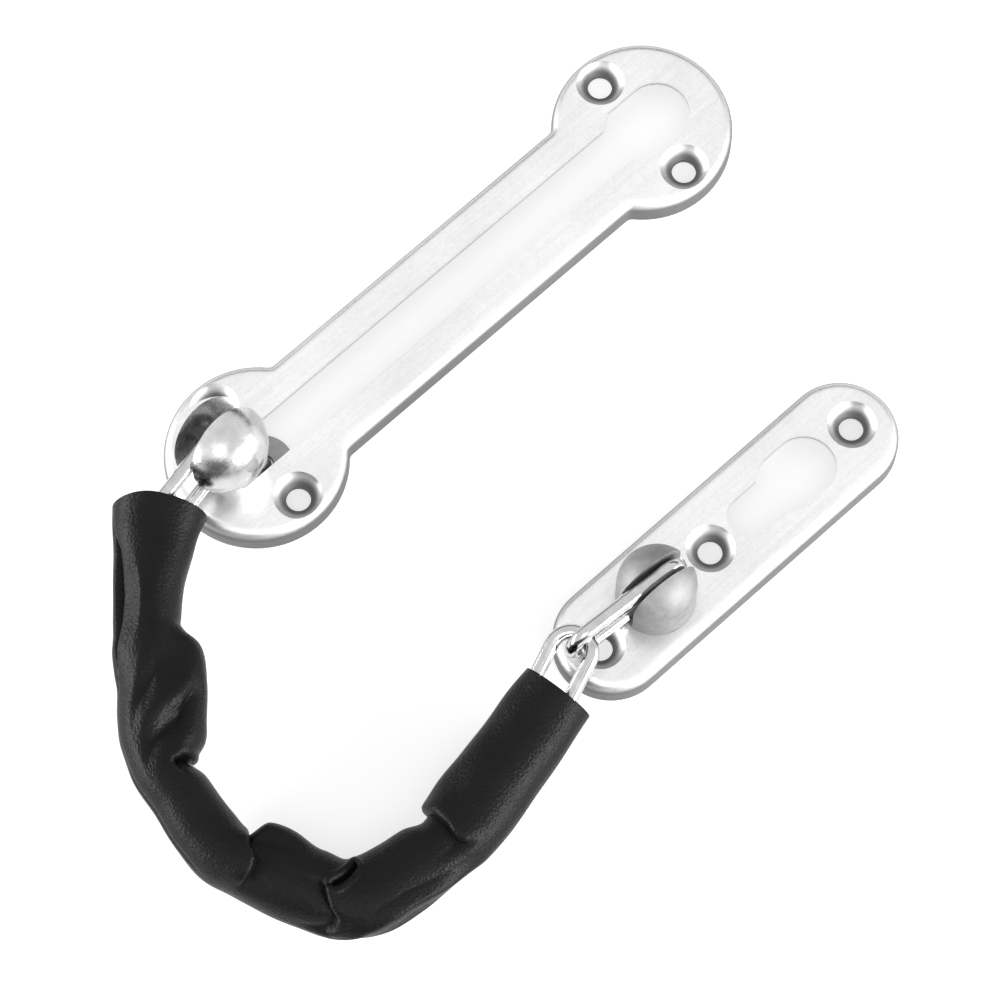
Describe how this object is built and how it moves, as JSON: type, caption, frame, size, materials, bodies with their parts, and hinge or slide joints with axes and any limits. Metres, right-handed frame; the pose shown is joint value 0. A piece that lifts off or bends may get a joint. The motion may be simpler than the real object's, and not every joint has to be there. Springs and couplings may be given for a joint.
{
  "type": "door chain",
  "caption": "Door chain with a slotted slide plate, a ball button, welded links in a black leather sleeve, and a screw-on anchor plate with a slotted stud.",
  "frame": {"origin": "centre of the slide plate's four screw holes, on its flat back", "axes": "+X along the slot towards the keyhole, +Z out of the door through the plate's front"},
  "size_m": [0.164, 0.0961, 0.0218],
  "materials": {
    "stainless": "brushed",
    "polished": "polished",
    "dull_steel": "dull",
    "leather": "fine grain with a soft sheen"
  },
  "bodies": {
    "middle_link": {"link_5": "polished", "sleeve": "leather"},
    "link_4": {"link_4": "polished"},
    "link_3": {"link_3": "polished"},
    "link_2": {"link_2": "polished"},
    "link_1": {"link_1": "polished"},
    "button": {"button_head": "polished", "button_pin": "polished", "button_foot": "dull_steel"},
    "slide_plate": {"slide_plate": "stainless"},
    "link_6": {"link_6": "polished"},
    "link_7": {"link_7": "polished"},
    "link_8": {"link_8": "polished"},
    "link_9": {"link_9": "polished"},
    "stud": {"anchor_stud": "dull_steel", "anchor_pin": "polished"},
    "anchor_plate": {"anchor_plate": "stainless"}
  },
  "joints": [
    {"name": "link_4_turn", "type": "hinge", "parent": "middle_link", "child": "link_4", "pos_m": [-0.09724, -0.04992, 0.0082], "axis": [0, 0, 1], "range_deg": [-12, 50], "deforming": ["sleeve"]},
    {"name": "link_3_turn", "type": "hinge", "parent": "link_4", "child": "link_3", "pos_m": [-0.09501, -0.03298, 0.0102], "axis": [0, 0, 1], "range_deg": [-12, 40], "deforming": ["sleeve"]},
    {"name": "link_2_turn", "type": "hinge", "parent": "link_3", "child": "link_2", "pos_m": [-0.08144, -0.0143, 0.011], "axis": [0, 0, 1], "range_deg": [-12, 28], "deforming": ["sleeve"]},
    {"name": "link_1_turn", "type": "hinge", "parent": "link_2", "child": "link_1", "pos_m": [-0.07039, -0.00113, 0.011], "axis": [0, 0, 1], "range_deg": [-10, 28], "deforming": ["sleeve"]},
    {"name": "link_6_turn", "type": "hinge", "parent": "middle_link", "child": "link_6", "pos_m": [-0.08588, -0.06999, 0.0069], "axis": [0, 0, 1], "range_deg": [-65, 8], "deforming": ["sleeve"]},
    {"name": "link_7_turn", "type": "hinge", "parent": "link_6", "child": "link_7", "pos_m": [-0.06916, -0.07401, 0.0069], "axis": [0, 0, 1], "range_deg": [-36, 12], "deforming": ["sleeve"]},
    {"name": "link_8_turn", "type": "hinge", "parent": "link_7", "child": "link_8", "pos_m": [-0.04644, -0.07, 0.008], "axis": [0, 0, 1], "range_deg": [-30, 14], "deforming": ["sleeve"]},
    {"name": "link_9_turn", "type": "hinge", "parent": "link_8", "child": "link_9", "pos_m": [-0.03063, -0.06425, 0.0116], "axis": [0, 0, 1], "range_deg": [-12, 42]},
    {"name": "button_tilt", "type": "hinge", "parent": "link_1", "child": "button", "pos_m": [-0.05066, 0.00235, 0.01365], "axis": [0.1092, -0.9152, 0.388], "range_deg": [0, 155]},
    {"name": "button_slide", "type": "slide", "parent": "button", "child": "slide_plate", "axis": [-1, 0, 0], "range_m": [-0.004, 0.0975]},
    {"name": "stud_tilt", "type": "hinge", "parent": "link_9", "child": "stud", "pos_m": [-0.01239, -0.06552, 0.0123], "axis": [-0.0698, -0.9976, 0], "range_deg": [0, 180]},
    {"name": "stud_swivel", "type": "hinge", "parent": "stud", "child": "anchor_plate", "pos_m": [-0.01239, -0.06552, 0.0052], "axis": [0, 0, 1], "range_deg": [-75, 75]}
  ]
}
